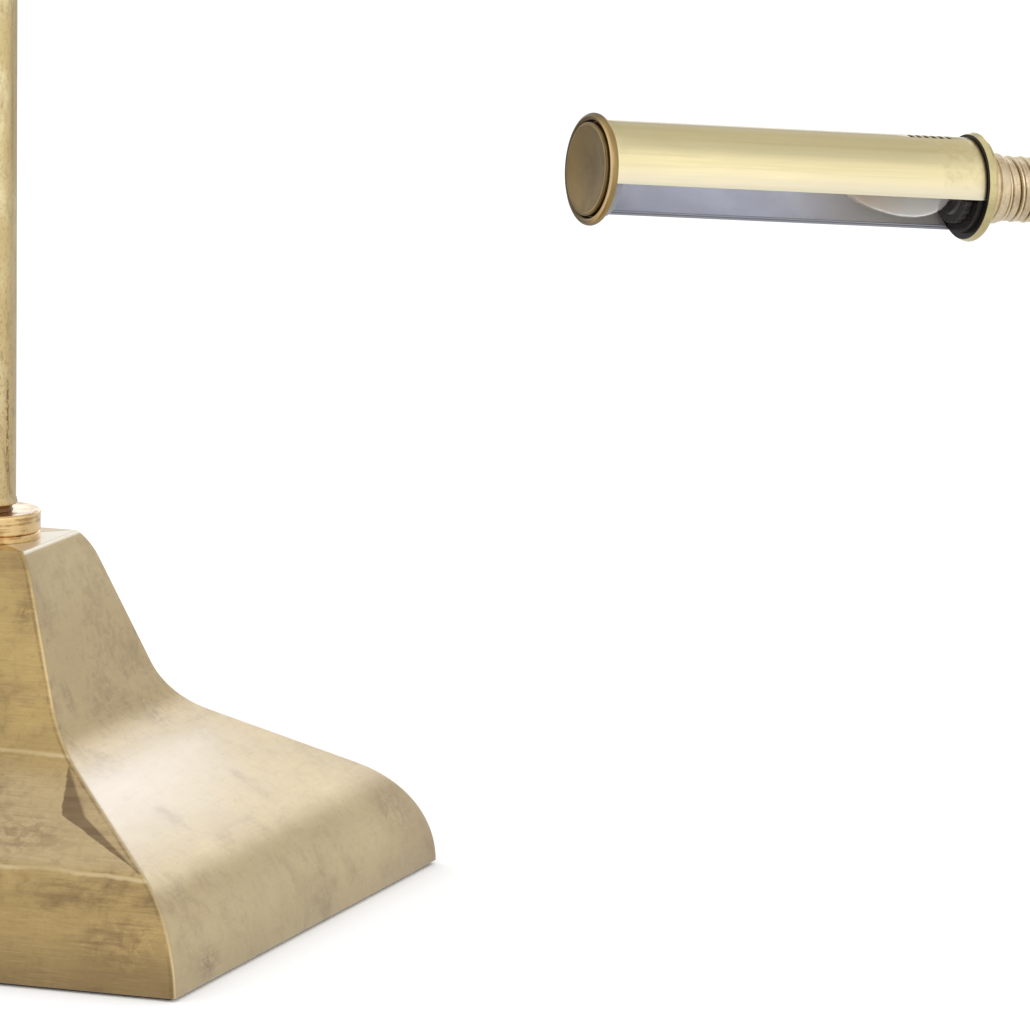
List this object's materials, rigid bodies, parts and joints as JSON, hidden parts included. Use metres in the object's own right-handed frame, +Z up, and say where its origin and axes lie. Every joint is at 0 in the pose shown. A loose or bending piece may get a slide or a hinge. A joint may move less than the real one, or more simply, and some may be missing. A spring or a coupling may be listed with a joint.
{
  "type": "gooseneck floor lamp",
  "caption": "Brass reading floor lamp with a weighted square base, telescopic pole, swivelling crook, flexible ribbed neck and a slotted tubular shade that turns.",
  "frame": {"origin": "centre of the base on the floor plane, on the pole's axis", "axes": "+Z up along the pole, +X out along the crook towards the head, +Y to the back"},
  "size_m": [0.8451, 0.4242, 1.0078],
  "materials": {
    "base_brass": "satin brushed brass, lightly aged",
    "pole_brass": "aged brass with brown blotches",
    "collar_brass": "warm aged brass",
    "dark_patina": "dark brown patina",
    "tube_brass": "satin brass, lightly aged",
    "neck_brass": "strip-wound brass, satin",
    "flange_brass": "polished olive-gold brass",
    "shade_brass": "polished brass",
    "antique_brass": "dark antique brass, satin",
    "white_enamel": "white enamel",
    "zinc_steel": "zinc-plated steel",
    "plug_brass": "plain turned brass",
    "ballast_iron": "raw casting",
    "felt": "dark felt",
    "grommet_rubber": "matt",
    "nylon": "matt",
    "black_plastic": "phenolic, semi-gloss",
    "black_lacquer": "gloss black lacquer",
    "bulb_metal": "rolled thread",
    "bulb_clear": "clear glass",
    "filament_wire": "wire on a glass stem"
  },
  "bodies": {
    "base": {"base_shell": "base_brass", "rim_frame": "zinc_steel", "base_plate": "zinc_steel", "felt_sheet": "felt", "ballast_weight": "ballast_iron", "plate_screws": "zinc_steel", "cord_grommet": "grommet_rubber", "tie_rod": "zinc_steel", "lock_washer": "zinc_steel", "lock_nut": "zinc_steel", "collar_flange": "collar_brass", "collar_ring": "collar_brass", "pole_spacer": "dark_patina", "pole_tube": "pole_brass", "pole_plug": "plug_brass", "guide_bush": "nylon", "clamp_collar": "tube_brass"},
    "thumbscrew": {"thumbscrew": "tube_brass"},
    "riser": {"riser_tube": "tube_brass", "riser_foot": "nylon", "switch_housing": "tube_brass", "housing_lid": "tube_brass", "switch_body": "black_plastic", "switch_nut": "tube_brass", "swivel_bush": "nylon"},
    "knob": {"switch_knob": "tube_brass"},
    "arm": {"swivel_ferrule": "tube_brass", "swivel_nut": "zinc_steel", "crook_tube": "tube_brass", "crook_ferrule": "tube_brass", "neck_link_1": "neck_brass"},
    "neck_2": {"neck_link_2": "neck_brass"},
    "neck_3": {"neck_link_3": "neck_brass"},
    "neck_4": {"neck_link_4": "neck_brass"},
    "neck_5": {"neck_link_5": "neck_brass"},
    "head": {"neck_link_6": "neck_brass", "neck_ferrule": "neck_brass", "rear_flange": "flange_brass", "heat_shield": "black_lacquer", "lampholder": "black_plastic", "holder_contact": "plug_brass", "shade_ring": "black_plastic", "bulb_cap": "bulb_metal", "bulb_glass": "bulb_clear", "bulb_filament": "filament_wire"},
    "shade": {"shade_hub": "black_lacquer", "shade_tube": "shade_brass", "shade_reflector": "white_enamel", "end_cap": "antique_brass", "cap_button": "antique_brass", "cap_nut": "zinc_steel"}
  },
  "joints": [
    {"name": "riser_slide", "type": "slide", "parent": "base", "child": "riser", "axis": [0, 0, 1], "range_m": [0, 0.28]},
    {"name": "thumbscrew_turn", "type": "hinge", "parent": "base", "child": "thumbscrew", "pos_m": [0, 0, 0.5598], "axis": [-1, 0, 0], "range_deg": [0, 270]},
    {"name": "switch_turn", "type": "hinge", "parent": "riser", "child": "knob", "pos_m": [0, 0, 0.6211], "axis": [0, -1, 0], "range_deg": [0, 90]},
    {"name": "arm_swing", "type": "hinge", "parent": "riser", "child": "arm", "pos_m": [0, 0, 0.652], "axis": [0, 0, 1], "range_deg": [-170, 170]},
    {"name": "neck_bend_1", "type": "hinge", "parent": "arm", "child": "neck_2", "pos_m": [0.617, 0, 0.47829], "axis": [0, 1, 0], "range_deg": [-12, 12]},
    {"name": "neck_bend_2", "type": "hinge", "parent": "neck_2", "child": "neck_3", "pos_m": [0.617, 0, 0.42168], "axis": [0, 1, 0], "range_deg": [-12, 12]},
    {"name": "neck_bend_3", "type": "hinge", "parent": "neck_3", "child": "neck_4", "pos_m": [0.61409, 0, 0.3653], "axis": [0, 1, 0], "range_deg": [-12, 12]},
    {"name": "neck_bend_4", "type": "hinge", "parent": "neck_4", "child": "neck_5", "pos_m": [0.58701, 0, 0.31637], "axis": [0, 1, 0], "range_deg": [-12, 12]},
    {"name": "neck_bend_5", "type": "hinge", "parent": "neck_5", "child": "head", "pos_m": [0.53865, 0, 0.28828], "axis": [0, 1, 0], "range_deg": [-12, 12]},
    {"name": "shade_turn", "type": "hinge", "parent": "head", "child": "shade", "pos_m": [0.46699, 0, 0.28837], "axis": [-0.9962, 0, 0.0872], "range_deg": [-90, 90]}
  ],
  "couplings": [
    {"joint": "neck_bend_2", "follows": "neck_bend_1", "ratio": 1},
    {"joint": "neck_bend_3", "follows": "neck_bend_1", "ratio": 1},
    {"joint": "neck_bend_4", "follows": "neck_bend_1", "ratio": 1},
    {"joint": "neck_bend_5", "follows": "neck_bend_1", "ratio": 1}
  ]
}
